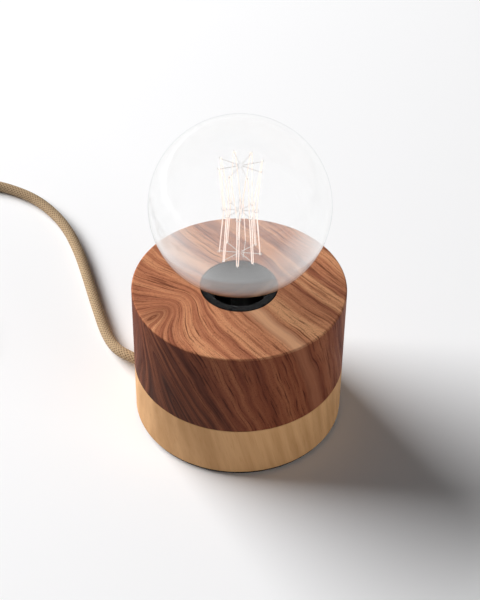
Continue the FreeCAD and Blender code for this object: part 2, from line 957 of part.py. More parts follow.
def switch_outline():
    """Plan of the switch: parallel sides that draw in to the cord at each end."""
    half = switch_width / 2
    nose = switch_end_width / 2
    corners = [
        Vector(0, -nose, 0),
        Vector(switch_nose, -half, 0),
        Vector(switch_length - switch_nose, -half, 0),
        Vector(switch_length, -nose, 0),
        Vector(switch_length, nose, 0),
        Vector(switch_length - switch_nose, half, 0),
        Vector(switch_nose, half, 0),
        Vector(0, nose, 0),
    ]
    return Part.Face(Part.Wire(chain(corners + corners[:1])))


def make_switch_body():
    """The whole housing before it is parted, with the cord seats."""
    body = switch_outline().extrude(UP * switch_height)
    upright = [edge for edge in body.Edges if edge.BoundBox.ZLength > switch_axis_height]
    body = body.makeFillet(switch_corner, upright)
    body = body.makeFillet(switch_round, body.Faces[-1].Edges + body.Faces[-2].Edges)
    for start in (0.0, switch_length - switch_round):
        mouth = Vector(start, 0, switch_axis_height)
        body = body.cut(rod(mouth, mouth + Vector(switch_round, 0, 0), cord_radius))
    return body


def pivot_line():
    """Middle of the rocker's pivot."""
    return Vector(switch_length / 2, 0, rocker_pivot_height)


def switch_screw(offset):
    """Screw from below that holds the two halves."""
    spot = (switch_length / 2 + offset, 0.0)
    shank = disc(switch_screw_radius, switch_screw_head, switch_screw_depth, spot)
    head = disc(switch_screw_head_radius, cord_lift, switch_screw_head, spot)
    return shank.fuse(head).removeSplitter()


def make_rocker(tilt):
    """Rocker with a shallow V top on a barrel, with a pivot at each side."""
    half = rocker_length / 2
    side = rocker_width / 2
    pivot = pivot_line()
    plate = [
        Vector(-half, -side, 0),
        Vector(half, -side, 0),
        Vector(half, -side, rocker_crown),
        Vector(0, -side, rocker_dip),
        Vector(-half, -side, rocker_crown),
    ]
    body = Part.Face(Part.Wire(chain(plate + plate[:1]))).extrude(Vector(0, rocker_width, 0))
    barrel = rod(Vector(0, -side, 0), Vector(0, side, 0), rocker_barrel)
    keep = block((-half, -side, -rocker_barrel), (half, side, rocker_dip / 2))
    axle_reach = side + rocker_side_gap + pivot_length
    axle = rod(Vector(0, -axle_reach, 0), Vector(0, axle_reach, 0), pivot_radius)
    body = body.fuse(barrel.common(keep)).fuse(axle).removeSplitter()
    body.rotate(Vector(0, 0, 0), Vector(0, 1, 0), tilt)
    body.translate(pivot)
    return body


def build_switch():
    """The inline switch, built along +X and laid on its heading."""
    body = make_switch_body()
    window_half = rocker_length / 2 + rocker_gap
    side = rocker_width / 2 + rocker_side_gap
    middle = switch_length / 2
    low = (middle - window_half, -side, switch_axis_height)
    high = (middle + window_half, side, switch_height)
    body = body.cut(block(low, high))
    pivot = pivot_line()
    reach = Vector(0, side + pivot_length + rocker_side_gap, 0)
    body = body.cut(rod(pivot - reach, pivot + reach, pivot_radius + pivot_play))
    screws = [switch_screw(offset) for offset in (-switch_screw_offset, switch_screw_offset)]
    body = body.cut(screws)
    whole = (-switch_length, -switch_width, 0)
    lower = body.common(block(whole, (2 * switch_length, switch_width, switch_axis_height)))
    above = (-switch_length, -switch_width, switch_axis_height)
    upper = body.common(block(above, (2 * switch_length, switch_width, switch_height)))
    parts["switch_lower"] = place(lower, switch_entry, switch_heading)
    parts["switch_upper"] = place(upper, switch_entry, switch_heading)
    parts["switch_rocker"] = place(make_rocker(rocker_tilt), switch_entry, switch_heading)
    for index, screw in enumerate(screws):
        parts["switch_screw_%d" % (index + 1)] = place(screw, switch_entry, switch_heading)


# ---------------------------------------------------------------- free cord, coil, plug


def coil_centre():
    """The coil's axis, beside the end of the link, one diameter past it."""
    return Vector(coil_start[0] + coil_outer_radius, coil_start[1] - 2 * cord_radius, 0)


def coil_state(degrees):
    """Radius and height of the cord at an angle wound so far."""
    winding = coil_turns_per_layer * FULL_TURN
    rate = (coil_outer_radius - coil_inner_radius) / winding
    past = degrees - winding
    radius = coil_inner_radius + rate * abs(past)
    quarter = FULL_TURN / 4
    if abs(past) < quarter:
        radius = coil_inner_radius + rate * (past ** 2 / quarter + quarter) / 2
    climb = min(1.0, max(0.0, past / (2 * quarter) + 0.5))
    eased = climb * climb * (3 - 2 * climb)
    return radius, coil_low + eased * (coil_high - coil_low)


def coil_point(degrees):
    """A point of the coil's centre line."""
    radius, height = coil_state(degrees)
    return coil_centre() + polar(radius, coil_start_angle + degrees, height)


def coil_way(degrees):
    """Direction of the coil's centre line."""
    step = 0.01
    way = coil_point(degrees + step) - coil_point(degrees - step)
    way.normalize()
    return way


def coil_span():
    """Angle wound from the lower layer's start to the upper layer's end."""
    return 2 * coil_turns_per_layer * FULL_TURN + coil_end_angle - coil_start_angle


def coil_path():
    """Two flat spirals, one over the other, joined at the inside, with straight ends."""
    span = coil_span()
    steps = round(span / FULL_TURN * coil_arcs_per_turn)
    angles = [span * k / steps for k in range(steps + 1)]
    edges = []
    first = coil_point(0.0)
    lead = Vector(coil_start[0], coil_start[1], coil_low)
    start_way = first - lead
    start_way.normalize()
    edges.append(Part.LineSegment(lead, first).toShape())
    ways = [coil_way(angle) for angle in angles]
    ways[0] = start_way
    for index in range(steps):
        start = coil_point(angles[index])
        end = coil_point(angles[index + 1])
        edges = edges + biarc(start, ways[index], end, ways[index + 1])
    last = coil_point(span)
    tail = last + ways[-1] * (2 * cord_radius)
    edges.append(Part.LineSegment(last, tail).toShape())
    return Part.Wire(edges), tail


def report_coil_gap(path):
    """Prints the least gap between turns of the coil."""
    step = cord_radius / 2
    points = path.discretize(Distance=step)
    skip = int(math.pi * 2 * cord_radius / step)
    least = coil_outer_radius
    for index in range(len(points) - skip):
        here = points[index]
        nearest = min((here - other).Length for other in points[index + skip:])
        least = min(least, nearest)
    print("coil least gap in mm:", round(least - 2 * cord_radius, 3))


def make_strap():
    """Flat strap round all the turns, in the plane across them."""
    inner_low = coil_inner_radius + coil_pitch / 4 - cord_radius - strap_side_play
    inner_high = coil_outer_radius - coil_pitch / 4 + cord_radius + strap_side_play
    floor = coil_low - cord_radius - strap_play
    ceiling = coil_high + cord_radius + strap_play
    wall = strap_thickness
    low = (inner_low - wall, -strap_width / 2, floor - wall)
    high = (inner_high + wall, strap_width / 2, ceiling + wall)
    outer = block(low, high)
    along = [edge for edge in outer.Edges if abs(edge.tangentAt(0).y) > 0.5]
    outer = outer.makeFillet(strap_corner + wall, along)
    inner = block((inner_low, -strap_width / 2, floor), (inner_high, strap_width / 2, ceiling))
    along = [edge for edge in inner.Edges if abs(edge.tangentAt(0).y) > 0.5]
    inner = inner.makeFillet(strap_corner, along)
    body = outer.cut(inner)
    body.rotate(Vector(0, 0, 0), UP, strap_angle)
    body.translate(coil_centre())
    return body


def make_plug_neck():
    """Tapered neck with grooves that let it bend with the cord."""
    axis = Vector(0, 0, plug_axis_height)
    run = plug_neck_length + plug_corner
    body = Part.makeCone(plug_neck_tip, plug_neck_radius, run, axis, Vector(1, 0, 0))
    for index in range(plug_neck_grooves):
        start = axis + Vector(plug_first_groove + index * plug_groove_pitch, 0, 0)
        end = start + Vector(plug_groove_width, 0, 0)
        depth = cord_radius + plug_groove_depth / 2
        wide = rod(start, end, plug_neck_radius + plug_groove_depth)
        body = body.cut(wide.cut(rod(start, end, depth)))
    return body


def make_plug_body():
    """Flat plug: wide face, drawn-in shoulders and a round neck for the cord."""
    half = plug_width / 2
    face = plug_face_width / 2
    neck = plug_neck_radius
    shoulder = plug_length - plug_straight
    corners = [
        Vector(plug_neck_length, -neck, 0),
        Vector(shoulder, -half, 0),
        Vector(plug_length, -face, 0),
        Vector(plug_length, face, 0),
        Vector(shoulder, half, 0),
        Vector(plug_neck_length, neck, 0),
    ]
    body = Part.Face(Part.Wire(chain(corners + corners[:1]))).extrude(UP * plug_thickness)
    upright = [edge for edge in body.Edges if edge.BoundBox.ZLength > plug_axis_height]
    body = body.makeFillet(plug_corner, upright)
    body = body.makeFillet(plug_round, body.Faces[-1].Edges + body.Faces[-2].Edges)
    axis = plug_axis_height
    body = body.fuse(make_plug_neck()).removeSplitter()
    for side in (-1, 1):
        seat = plug_length - pin_seat
        start = Vector(seat, side * pin_spacing / 2, axis)
        body = body.cut(rod(start, start + Vector(pin_seat, 0, 0), pin_radius - pin_seat_step))
    return body


def make_pin(side):
    """Round pin with a domed tip and a slightly thinner root in the plug."""
    face = Vector(plug_length, side * pin_spacing / 2, plug_axis_height)
    body = rod(face, face + Vector(pin_length, 0, 0), pin_radius)
    tips = [edge for edge in body.Edges if edge.BoundBox.XMin > plug_length + pin_radius]
    body = body.makeFillet(pin_tip_round, tips)
    root = rod(face - Vector(pin_seat, 0, 0), face, pin_radius - pin_seat_step)
    return body.fuse(root)


def build_free_cord():
    """Free cord, link, coil, strap, end and plug."""
    start = polar(wall_joint_radius, exit_azimuth, exit_height)
    outside = polar(exit_reach, exit_azimuth, exit_height)
    free = [start, outside] + [Vector(*point) for point in free_points]
    parts["cord_free"] = swept(bent_path(free, report="free cord"), cord_radius, "free cord")
    away = polar(switch_length, switch_heading)
    far_end = Vector(*switch_entry) + away
    link = [far_end] + [Vector(*point) for point in link_points]
    parts["cord_link"] = swept(bent_path(link, report="cord link"), cord_radius, "cord link")
    path, tail = coil_path()
    report_coil_gap(path)
    parts["cord_coil"] = swept(path, cord_radius, "coil")
    parts["cord_strap"] = make_strap()
    finish = [tail] + [Vector(*point) for point in end_points]
    parts["cord_end"] = swept(bent_path(finish, report="cord end"), cord_radius, "cord end")
    parts["plug_body"] = place(make_plug_body(), plug_rear, plug_heading)
    for index, side in enumerate((1, -1)):
        parts["plug_pin_%d" % (index + 1)] = place(make_pin(side), plug_rear, plug_heading)


build_base()
build_holder()
build_bulb()
build_inner_cord()
build_switch()
build_free_cord()

os.makedirs("parts", exist_ok=True)
for name, shape in parts.items():
    if not shape.isValid():
        print("not valid:", name)
    shape.exportStep("parts/%s.step" % name)
print(len(parts), "pieces")
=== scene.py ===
# %% [markdown]
# # A bare-bulb table lamp
#
# A round block of walnut stands on a disc of maple. A black lampholder is sunk flush
# in its top and holds a large clear bulb with a squirrel-cage filament. A fabric cord
# leaves at the back left, with a switch on the way to its plug.
#
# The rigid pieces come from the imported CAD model, at their real size and in metres.
# This script adds what a camera sees: the finish of each surface, the cords at their
# real length, and the light.

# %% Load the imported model
import math

import bmesh
import bpy
from mathutils import Matrix, Vector


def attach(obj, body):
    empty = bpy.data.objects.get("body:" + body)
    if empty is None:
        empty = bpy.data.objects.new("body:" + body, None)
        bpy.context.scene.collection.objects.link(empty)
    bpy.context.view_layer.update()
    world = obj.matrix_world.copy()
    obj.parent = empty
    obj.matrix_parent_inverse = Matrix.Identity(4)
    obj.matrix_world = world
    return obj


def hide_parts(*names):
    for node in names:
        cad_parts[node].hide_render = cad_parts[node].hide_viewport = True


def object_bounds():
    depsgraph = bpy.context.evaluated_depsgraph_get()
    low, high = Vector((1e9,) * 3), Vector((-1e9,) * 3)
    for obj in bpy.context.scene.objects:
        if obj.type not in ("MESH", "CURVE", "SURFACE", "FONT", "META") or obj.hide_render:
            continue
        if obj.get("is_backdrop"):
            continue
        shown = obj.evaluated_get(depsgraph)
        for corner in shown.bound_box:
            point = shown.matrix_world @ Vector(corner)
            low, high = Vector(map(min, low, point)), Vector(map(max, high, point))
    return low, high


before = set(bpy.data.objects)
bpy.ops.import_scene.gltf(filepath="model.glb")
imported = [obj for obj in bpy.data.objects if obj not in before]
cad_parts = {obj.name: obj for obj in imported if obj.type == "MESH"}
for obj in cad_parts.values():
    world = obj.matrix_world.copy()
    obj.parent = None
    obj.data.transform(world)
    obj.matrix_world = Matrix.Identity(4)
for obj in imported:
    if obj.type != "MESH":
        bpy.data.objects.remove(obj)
cad_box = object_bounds()
print("pieces from the CAD model:", len(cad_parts))

# %% [markdown]
# ## Small helpers
#
# Drawings of a lamp are in millimetres and Blender works in metres, so `mm` turns one
# into the other. Paint colours are easiest to read as sRGB hex codes, but a shader
# adds up light, so `paint` turns a code into linear values. `add_node` puts one node
# in a material, with its settings and its links, and every material below uses it.

# %% Units, colours and nodes


def mm(value):
    """Millimetres as metres."""
    return value / 1000.0


def paint(code):
    """An sRGB hex code as linear red, green, blue and alpha."""
    channels = [int(code[k : k + 2], 16) / 255 for k in (0, 2, 4)]
    linear = [c / 12.92 if c <= 0.04045 else ((c + 0.055) / 1.055) ** 2.4 for c in channels]
    return (*linear, 1.0)


def add_node(tree, kind, settings=None, **inputs):
    """Adds one node: settings are its own options, inputs are values, or nodes to link.

    An input is named by its socket's name with _ for a space, or by its number as _0.
    A node is linked by its first output, and any other output is given as a socket.
    """
    node = tree.nodes.new(kind)
    for option, value in (settings or {}).items():
        setattr(node, option, value)
    for name, value in inputs.items():
        key = int(name[1:]) if name[0] == "_" else name.replace("_", " ")
        source = value.outputs[0] if isinstance(value, bpy.types.Node) else value
        if isinstance(source, bpy.types.NodeSocket):
            tree.links.new(source, node.inputs[key])
        else:
            node.inputs[key].default_value = source
    return node


print("walnut in linear light:", [round(c, 3) for c in paint("8a5a3c")[:3]])

# %% [markdown]
# Each finish starts as an empty material. Its nodes end in the output, and the piece
# takes the material in the slot that the CAD model gave it.

# %% Empty materials and giving them to pieces


def empty_material(name):
    """A material without any nodes, and its node tree."""
    material = bpy.data.materials.new(name)
    material.use_nodes = True
    material.node_tree.nodes.clear()
    return material, material.node_tree


def close_material(tree, shader):
    """Links the finished shader to the output."""
    add_node(tree, "ShaderNodeOutputMaterial", Surface=shader)


def dress(material, *names):
    """Gives a material to CAD pieces."""
    for name in names:
        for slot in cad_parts[name].material_slots:
            slot.material = material
    print(material.name, "on", ", ".join(names))


# %% [markdown]
# ## The camera
#
# The photograph looks down on the lamp at about 42 degrees with a long lens, so the
# rings of the base are ellipses with little perspective. The camera's place and lens
# were fitted to those ellipses, and the three directions below are its own axes.

# %% Camera
camera_data = bpy.data.cameras.new("photo_camera")
camera_data.lens = 96.16
camera_data.sensor_width = 36.0
camera_data.clip_start = 0.01
camera = bpy.data.objects.new("photo_camera", camera_data)
camera_right = (0.999928, 0.00797, 0.008962)
camera_up = (-0.011993, 0.664515, 0.747179)
camera_back = (0.0, -0.747232, 0.664563)
camera_place = (0.000495, -0.648381, 0.653086)
turn = Matrix((camera_right, camera_up, camera_back)).transposed().to_4x4()
camera.matrix_world = Matrix.Translation(camera_place) @ turn
bpy.context.scene.collection.objects.link(camera)
bpy.context.scene.camera = camera
print("camera height in metres:", round(camera.location.z, 3))

# %% [markdown]
# ## The cord's route
#
# The cord is a round fabric lead, 6.5 mm thick and about 1.9 m long. It comes out of
# the base at the back left, lies on the table in one long S, and goes into the inline
# switch just outside the picture. The rest is put away in a strapped coil beside it,
# and ends in the plug.
#
# A real cord has no corners, so each stretch is one smooth NURBS curve. Its control
# points pull the line without being on it, as a stiff lead rounds the places where
# it is pushed. The order is set after the points, because a new spline has too few
# of them for it.

# %% Route points in millimetres
cord_diameter = mm(6.5)
rest_height = 3.3
switch_height = 7.5
plug_height = 6.85
exit_height = 8.2
exit_azimuth = math.radians(158.5)


def from_axis(radius):
    """A point on the line along which the cord leaves the base."""
    across = radius * math.cos(exit_azimuth)
    away = radius * math.sin(exit_azimuth)
    return (across, away, exit_height)


free_route = [
    from_axis(50.0),
    from_axis(68.7),
    (-77.0, 43.2, rest_height),
    (-88.5, 81.6, rest_height),
    (-94.2, 102.0, rest_height),
    (-101.9, 127.6, rest_height),
    (-112.1, 152.0, rest_height),
    (-125.8, 171.1, rest_height),
    (-140.6, 184.1, rest_height),
    (-163.0, 194.7, rest_height),
    (-181.0, 194.2, rest_height),
    (-196.8, 185.7, 5.0),
    (-207.2, 170.9, switch_height),
    (-214.1, 161.1, switch_height),
]
print("points on the free stretch:", len(free_route))

# %% [markdown]
# ### The put-away coil
#
# The coil is two flat spirals, one on the other: the cord winds in on the table, climbs
# at the middle and winds out on top. A loop works out its points, because they follow
# the same rule on every turn: 24 a turn keep the NURBS round. The line runs a little
# inside its control points, so these stand out to make up for three quarters of that.

# %% Coil points
coil_outer = 46.0
coil_pitch = 7.15
coil_turns = 3
coil_inner = coil_outer - coil_turns * coil_pitch
coil_low = 4.35
coil_high = coil_low + coil_pitch
coil_middle = (-219.2, 49.5)
coil_span = 2180.0
ease_span = 90.0
climb_span = 180.0
points_per_turn = 24
made_up_share = 0.75
stand_out = 1.0 / math.cos(math.pi / points_per_turn) ** made_up_share


def coil_point(wound):
    """A point of the coil after an angle wound from its start."""
    inward = coil_turns * 360.0
    rate = (coil_outer - coil_inner) / inward
    past = wound - inward
    radius = coil_inner + rate * abs(past)
    if abs(past) < ease_span:
        radius = coil_inner + rate * (past**2 / ease_span + ease_span) / 2
    climb = min(1.0, max(0.0, past / climb_span + 0.5))
    height = coil_low + climb * climb * (3 - 2 * climb) * coil_pitch
    angle = math.radians(180.0 + wound)
    across = coil_middle[0] + radius * stand_out * math.cos(angle)
    away = coil_middle[1] + radius * stand_out * math.sin(angle)
    return (across, away, height)


coil_steps = round(coil_span / 360.0 * points_per_turn)
coil_route = [coil_point(coil_span * k / coil_steps) for k in range(coil_steps + 1)]
link_route = [
    (-249.66, 110.31, switch_height),
    (-257.7, 98.8, switch_height),
    (-265.2, 74.0, coil_low),
    (-265.2, 56.0, coil_low),
]
end_route = [
    (-255.5, 13.5, coil_high),
    (-247.0, -4.5, 9.1),
    (-236.5, -20.0, plug_height),
    (-228.0, -30.1, plug_height),
]
put_away_route = link_route + coil_route + end_route
print("points on the put-away stretch:", len(put_away_route))

# %% [markdown]
# ### From route to tube
#
# The route becomes a curve, and Blender reads off the points of its smooth line. A
# bevel on the curve would do for a plain rubber lead, but the weave has to run along
# the cord in real millimetres, so the tube is a mesh: a circle is extruded from point
# to point, and each new ring is turned with the line. Its UV map holds the distance
# along the cord in millimetres and the way round it.

# %% Smooth line of a route


def smooth_line(name, route, steps):
    """Points of the NURBS curve that the route's points control, in metres."""
    curve = bpy.data.curves.new(name, "CURVE")
    curve.dimensions = "3D"
    spline = curve.splines.new("NURBS")
    spline.points.add(len(route) - 1)
    for point, place in zip(spline.points, route):
        point.co = (mm(place[0]), mm(place[1]), mm(place[2]), 1.0)
    spline.order_u = 3
    spline.use_endpoint_u = True
    spline.resolution_u = steps
    holder = bpy.data.objects.new(name, curve)
    bpy.context.scene.collection.objects.link(holder)
    line = bpy.data.meshes.new_from_object(holder)
    points = [vertex.co.copy() for vertex in line.vertices]
    bpy.data.objects.remove(holder)
    return points


free_line = smooth_line("free_line", free_route, steps=8)
put_away_line = smooth_line("put_away_line", put_away_route, steps=2)

# %% A tube that follows a line


def finish_mesh(name, shape):
    """Turns a bmesh into a shaded object at the origin."""
    mesh = bpy.data.meshes.new(name)
    shape.to_mesh(mesh)
    shape.free()
    piece = bpy.data.objects.new(name, mesh)
    bpy.context.scene.collection.objects.link(piece)
    for face in mesh.polygons:
        face.use_smooth = True
    return piece


def lay_chart(shape, marks, sides):
    """A UV map of the distance along a tube in millimetres and the way round it."""
    chart = shape.loops.layers.uv.new("along_and_around")
    for face in shape.faces:
        turns = [marks[vertex][1] for vertex in face.verts]
        for loop in face.loops:
            along, turned = marks[loop.vert]
            if max(turns) - turned > sides / 2:
                turned += sides
            loop[chart].uv = (along, turned / sides)


def tube_along(name, points, diameter, sides=20):
    """A closed tube along a line of points, with millimetres along it as its UV map."""
    shape = bmesh.new()
    way = (points[1] - points[0]).normalized()
    tilt = Vector((0, 0, 1)).rotation_difference(way).to_matrix().to_4x4()
    ring = bmesh.ops.create_circle(
        shape, cap_ends=True, segments=sides, radius=diameter / 2,
        matrix=Matrix.Translation(points[0]) @ tilt,
    )
    marks = {vertex: (0.0, k) for k, vertex in enumerate(ring["verts"])}
    edges = list(shape.edges)
    travelled = 0.0
    for index in range(1, len(points)):
        here = points[index - 1]
        there = points[index]
        ahead = points[min(index + 1, len(points) - 1)]
        next_way = (ahead - here).normalized()
        bend = way.rotation_difference(next_way).to_matrix().to_4x4()
        step = Matrix.Translation(there) @ bend @ Matrix.Translation(-here)
        made = bmesh.ops.extrude_edge_only(shape, edges=edges)["geom"]
        edges = [item for item in made if isinstance(item, bmesh.types.BMEdge)]
        travelled += (there - here).length
        new_rim = [item for item in made if isinstance(item, bmesh.types.BMVert)]
        bmesh.ops.transform(shape, matrix=step, verts=new_rim)
        for vertex in new_rim:
            for edge in vertex.link_edges:
                other = edge.other_vert(vertex)
                if other in marks and other not in new_rim:
                    marks[vertex] = (travelled * 1000, marks[other][1])
        way = next_way
    bmesh.ops.edgeloop_fill(shape, edges=edges)
    bmesh.ops.recalc_face_normals(shape, faces=shape.faces)
    lay_chart(shape, marks, sides)
    piece = finish_mesh(name, shape)
    print(name, "faces:", len(piece.data.polygons))
    return piece


cord_lead = tube_along("cord_lead", free_line, cord_diameter)
cord_stored = tube_along("cord_stored", put_away_line, cord_diameter)

# %% [markdown]
# Both stretches are attached to the lamp's body, in place of the CAD model's own cord pieces,
# which are hidden. The switch hangs on the first, and the strap and the plug on the second.

lamp_body = "lamp"
for cord in (cord_lead, cord_stored):
    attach(cord, lamp_body)
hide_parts("cord_free")
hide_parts("cord_link", "cord_coil", "cord_end")

# %% [markdown]
# ## The table and the light
#
# The lamp stands on a white sheet in a dim room. One large soft lamp like a window, at
# the back left, gives the soft shadow that falls to the front right, and a small low
# one at the front lifts the shaded side of the base. Where the camera, a gloss or a
# glass looks past the table it sees plain white, as a studio cove would show, without
# more light falling on the lamp.

# %% Floor
sheet_reach = 6.0

sheet = bmesh.new()
bmesh.ops.create_grid(sheet, x_segments=1, y_segments=1, size=sheet_reach)
floor = finish_mesh("white_sheet", sheet)
floor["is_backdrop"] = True
floor_material, tree = empty_material("white_paper_sheet")
paper = add_node(tree, "ShaderNodeBsdfDiffuse", Color=paint("f4f4f5"), Roughness=0.0)
close_material(tree, paper)
floor.data.materials.append(floor_material)
print("floor stands at", floor.location.z)

# %% Room
room_strength = 0.035
white_strength = 1.0

bpy.context.scene.view_settings.view_transform = "Standard"
world = bpy.data.worlds.new("white_room")
bpy.context.scene.world = world
world.use_nodes = True
tree = world.node_tree
tree.nodes.clear()
path = add_node(tree, "ShaderNodeLightPath")
seen = add_node(
    tree, "ShaderNodeMath", {"operation": "MAXIMUM"},
    _0=path.outputs["Is Camera Ray"], _1=path.outputs["Is Glossy Ray"],
)
shown = add_node(
    tree, "ShaderNodeMath", {"operation": "MAXIMUM"},
    _0=seen, _1=path.outputs["Is Transmission Ray"],
)
room = add_node(tree, "ShaderNodeBackground", Color=paint("ffffff"), Strength=room_strength)
white = add_node(tree, "ShaderNodeBackground", Color=paint("ffffff"), Strength=white_strength)
choice = add_node(tree, "ShaderNodeMixShader", _0=shown, _1=room, _2=white)
add_node(tree, "ShaderNodeOutputWorld", Surface=choice)
print("room light beside the windows:", room_strength)

# %% Windows
lamp_middle = Vector((0.0, 0.0, 0.05))


def add_window(name, azimuth, elevation, distance, wide, tall, energy):
    """A large soft lamp that stands round the table and looks at the lamp's base."""
    data = bpy.data.lights.new(name, "AREA")
    data.shape = "RECTANGLE"
    data.size = wide
    data.size_y = tall
    data.energy = energy
    data.color = paint("ffffff")[:3]
    around = math.radians(azimuth)
    up = math.radians(elevation)
    level = math.cos(up)
    way = Vector((math.cos(around) * level, math.sin(around) * level, math.sin(up)))
    facing = way.to_track_quat("Z", "Y").to_matrix().to_4x4()
    pane = bpy.data.objects.new(name, data)
    pane.matrix_world = Matrix.Translation(lamp_middle + way * distance) @ facing
    pane.visible_glossy = False
    pane.visible_transmission = False
    bpy.context.scene.collection.objects.link(pane)
    print(name, "stands at", [round(c, 2) for c in pane.location])


add_window(
    "window_back_left",
    azimuth=149.0, elevation=29.0, distance=4.4, wide=3.9, tall=1.6, energy=408.0,
)
add_window(
    "window_front",
    azimuth=-40.0, elevation=9.0, distance=2.4, wide=1.4, tall=0.6, energy=23.0,
)

# %% [markdown]
# ## Walnut
#
# The upper block is black walnut, turned and oiled. Its growth rings are cut at a slant,
# so the dark lines run across the top and down the wall in one direction, and they
# swerve round a knot at the front left. A flat picture of wood can't do that on a
# turned block, but a pattern in space can: each point gets a *grain depth*, the
# distance through the growth rings, and the rings are drawn from that one number on the
# top and the wall alike.
#
# Most of the nodes do one sum each, so the sums get short names here. A Mix node takes
# its two colours at inputs 6 and 7 and gives the blend at output 2.

# %% Grain space
plus = {"operation": "ADD"}
minus = {"operation": "SUBTRACT"}
times = {"operation": "MULTIPLY"}
power = {"operation": "POWER"}
scaled = {"operation": "SCALE"}
colours = {"data_type": "RGBA"}


def in_millimetres(tree):
    """Object coordinates in millimetres."""
    spot = add_node(tree, "ShaderNodeTexCoord")
    return add_node(
        tree, "ShaderNodeMapping", {"vector_type": "POINT"},
        Vector=spot.outputs["Object"], Scale=(1000.0, 1000.0, 1000.0),
    )


def along_direction(tree, position, direction):
    """How far a position lies along a direction."""
    reach = add_node(
        tree, "ShaderNodeVectorMath", {"operation": "DOT_PRODUCT"}, _0=position, _1=direction
    )
    return reach.outputs["Value"]


def square_to(direction, other):
    """The part of a direction that stands square to another."""
    return (direction - other * direction.dot(other)).normalized()


ring_way = Vector((0.713, 0.645, 0.275)).normalized()
fibre_way = square_to(Vector((0.654, -0.470, -0.591)).normalized(), ring_way)
ray_way = ring_way.cross(fibre_way)
print("fibre direction:", [round(c, 3) for c in fibre_way])

# %% [markdown]
# The knot is where a branch grew. The rings bulge round it, so near its axis the grain
# depth is pushed along the ring direction, and so far at the middle that the rings
# close on themselves and show as an eye. The branch leans, so its axis slides sideways
# with the drop below the top of the block.

# %% Knot
block_top = 87.0
eye_softness = 0.015
knot_middle = (-43.3, -24.5, 0)
knot_lean = (0.26, -0.51, 0)
knot_along = 22.0
knot_across = 10.0
knot_height = 37.0


def knot_push(tree, position):
    """How far the rings are pushed round the leaning knot, in mm."""
    level = along_direction(tree, position, (0, 0, 1))
    drop = add_node(tree, "ShaderNodeMath", minus, _0=block_top, _1=level)
    slide = add_node(tree, "ShaderNodeVectorMath", scaled, _0=knot_lean, Scale=drop)
    axis = add_node(tree, "ShaderNodeVectorMath", plus, _0=slide, _1=knot_middle)
    offset = add_node(tree, "ShaderNodeVectorMath", minus, _0=position, _1=axis)
    plan_ring = Vector((ring_way.x, ring_way.y, 0)).normalized()
    plan_fibre = Vector((plan_ring.y, -plan_ring.x, 0))
    outward = along_direction(tree, offset, plan_ring / knot_along)
    sideways = along_direction(tree, offset, plan_fibre / knot_across)
    outward_square = add_node(tree, "ShaderNodeMath", power, _0=outward, _1=2.0)
    sideways_square = add_node(tree, "ShaderNodeMath", power, _0=sideways, _1=2.0)
    square = add_node(tree, "ShaderNodeMath", plus, _0=outward_square, _1=sideways_square)
    softened = add_node(tree, "ShaderNodeMath", plus, _0=square, _1=eye_softness)
    distance = add_node(tree, "ShaderNodeMath", {"operation": "SQRT"}, _0=softened)
    falling = add_node(tree, "ShaderNodeMath", times, _0=distance, _1=-1.0)
    fade = add_node(tree, "ShaderNodeMath", power, _0=math.e, _1=falling)
    return add_node(tree, "ShaderNodeMath", times, _0=fade, _1=knot_height)


print("knot on the top at", knot_middle[:2])

# %% [markdown]
# The rings aren't flat sheets either. A broad, soft noise makes the grain depth wander
# by a few millimetres.
#
# Three noises are then drawn in grain space, each stretched along the fibres. The bands
# are the broad change from brown to pale brown, a few millimetres apart. The streaks
# are the dark lines of late wood, under a millimetre wide. The pores are short dark
# dashes. Each is given as changes per millimetre through the rings, along the fibres
# and along the rays.

# %% Walnut's grain depth and patterns
wander_rate = 0.028
wander_span = 8.0


def stretched_noise(tree, places, rates, detail, roughness=0.5):
    """Noise with its own rate per millimetre in each of three directions."""
    spread = []
    for place, rate in zip(places, rates):
        spread.append(add_node(tree, "ShaderNodeMath", times, _0=place, _1=rate))
    spot = add_node(tree, "ShaderNodeCombineXYZ", X=spread[0], Y=spread[1], Z=spread[2])
    return add_node(
        tree, "ShaderNodeTexNoise", Vector=spot, Scale=1.0, Detail=detail, Roughness=roughness
    )


walnut, tree = empty_material("oiled_black_walnut")
position = in_millimetres(tree)
depth = along_direction(tree, position, ring_way)
fibre = along_direction(tree, position, fibre_way)
ray = along_direction(tree, position, ray_way)
bulge = knot_push(tree, position)
wander_at = add_node(tree, "ShaderNodeVectorMath", scaled, _0=position, Scale=wander_rate)
wander = add_node(tree, "ShaderNodeTexNoise", Vector=wander_at, Scale=1.0, Detail=2.0)
swing = add_node(tree, "ShaderNodeMath", minus, _0=wander, _1=0.5)
sway = add_node(tree, "ShaderNodeMath", times, _0=swing, _1=wander_span)
pushed = add_node(tree, "ShaderNodeMath", minus, _0=depth, _1=bulge)
grain = add_node(tree, "ShaderNodeMath", plus, _0=pushed, _1=sway)
places = (grain, fibre, ray)
bands = stretched_noise(tree, places, (0.2, 0.006, 0.006), detail=3.0, roughness=0.55)
streaks = stretched_noise(tree, places, (1.15, 0.045, 0.045), detail=4.0, roughness=0.6)
pores = stretched_noise(tree, places, (2.4, 0.3, 2.4), detail=1.0)
print("rings wander by up to", wander_span / 2, "mm")

# %% [markdown]
# The colours go on in layers: the bands, the dark late wood, the pale wood between its
# lines, and the pores. Then come the marks of this one block: a streak of pale sapwood
# that follows the rings, and the dark eye of the knot.

# %% Walnut's own colours
sapwood_depth = 15.5


def set_stops(ramp, *stops):
    """Sets a colour ramp's stops, each a position and a colour code."""
    elements = ramp.color_ramp.elements
    elements[0].position = stops[0][0]
    elements[-1].position = stops[-1][0]
    for stop in stops[1:-1]:
        elements.new(stop[0])
    for element, stop in zip(elements, stops):
        element.color = paint(stop[1])


